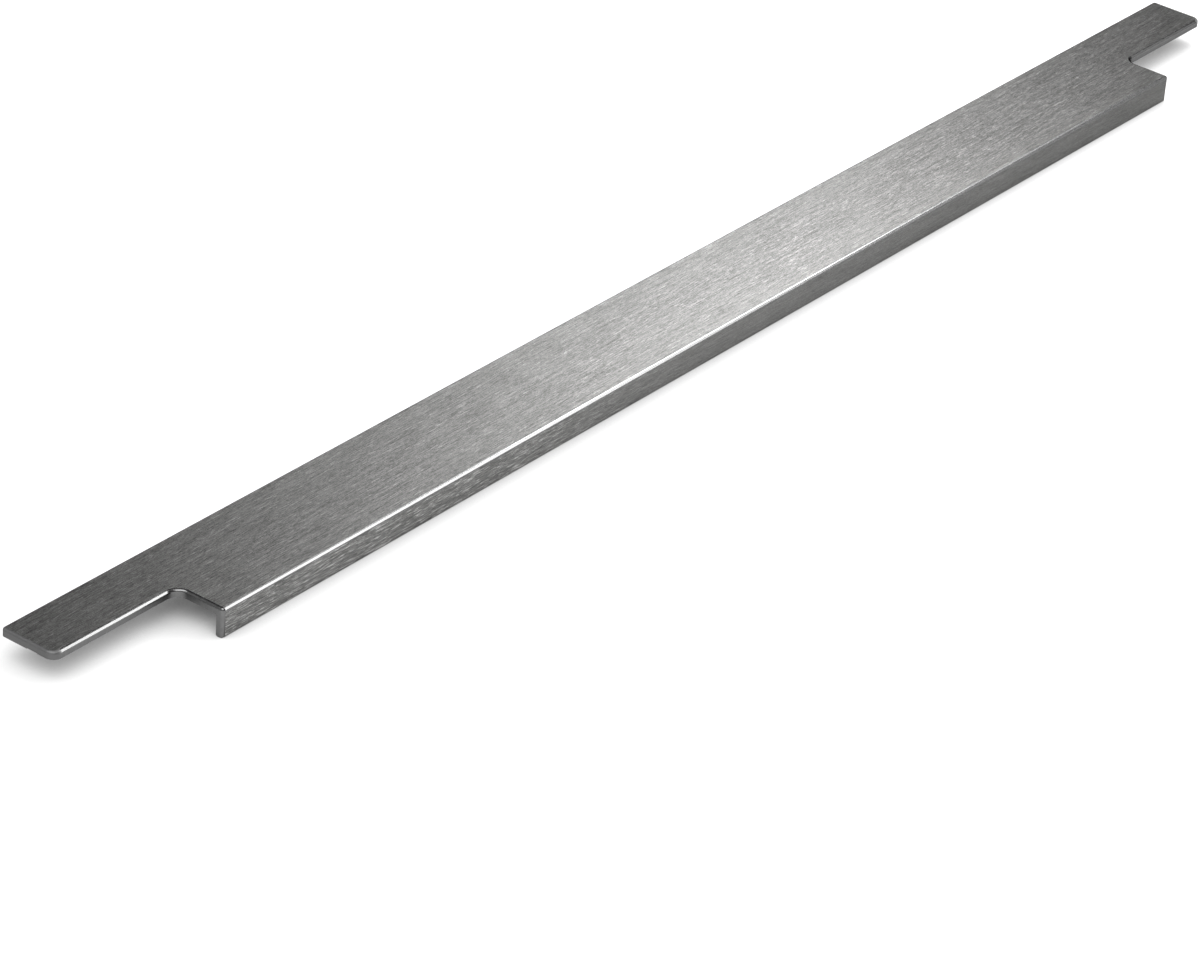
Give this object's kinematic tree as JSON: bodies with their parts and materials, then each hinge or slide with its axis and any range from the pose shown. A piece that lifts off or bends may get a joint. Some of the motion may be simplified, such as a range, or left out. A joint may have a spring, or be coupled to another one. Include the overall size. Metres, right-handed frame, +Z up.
{
  "type": "profile handle",
  "caption": "Long edge pull of extruded aluminium: flat plate, lip turned down in front, a tab at each end and a barbed rib underneath that presses into the edge of a door or drawer front.",
  "frame": {"origin": "middle of the handle's length, on the line of the panel face (the front edge of the tabs), at the underside of the plate", "axes": "+X along the handle, +Y from the panel face towards the back edge of the plate, +Z up through the plate"},
  "size_m": [0.596, 0.0375, 0.0097],
  "materials": {
    "brushed_aluminium": "brushed lengthwise and anodised in a dark stainless steel tone"
  },
  "bodies": {
    "root": {"profile_handle": "brushed_aluminium"}
  },
  "joints": []
}
